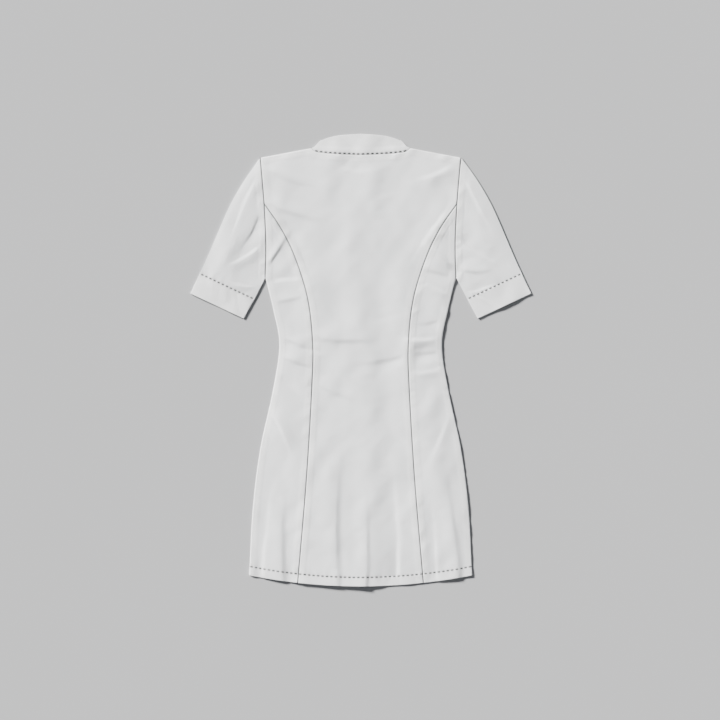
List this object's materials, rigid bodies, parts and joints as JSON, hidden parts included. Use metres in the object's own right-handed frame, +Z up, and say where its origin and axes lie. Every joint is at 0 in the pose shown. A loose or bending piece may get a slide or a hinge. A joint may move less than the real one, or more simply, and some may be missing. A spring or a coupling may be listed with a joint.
{
  "type": "medical tunic",
  "caption": "Fitted short-sleeved medical tunic with a stand collar and back princess seams, laid flat on its front with the back facing up.",
  "frame": {"origin": "middle of the footprint, on the surface that the tunic lies on", "axes": "+Z up, out of the back; +Y from the hem to the collar; +X to the wearer's right, which is the viewer's right in the drawing"},
  "size_m": [0.6788, 0.9042, 0.0065],
  "materials": {
    "cloth": "matt woven twill",
    "stud": "satin"
  },
  "bodies": {
    "root": {"back_centre": "cloth", "back_side_left": "cloth", "back_side_right": "cloth", "collar": "cloth", "front_left": "cloth", "front_right": "cloth", "sleeve_left": "cloth", "sleeve_right": "cloth", "press_stud_1": "stud", "press_stud_2": "stud", "press_stud_3": "stud", "press_stud_4": "stud", "press_stud_5": "stud", "press_stud_6": "stud", "press_stud_7": "stud"}
  },
  "joints": []
}
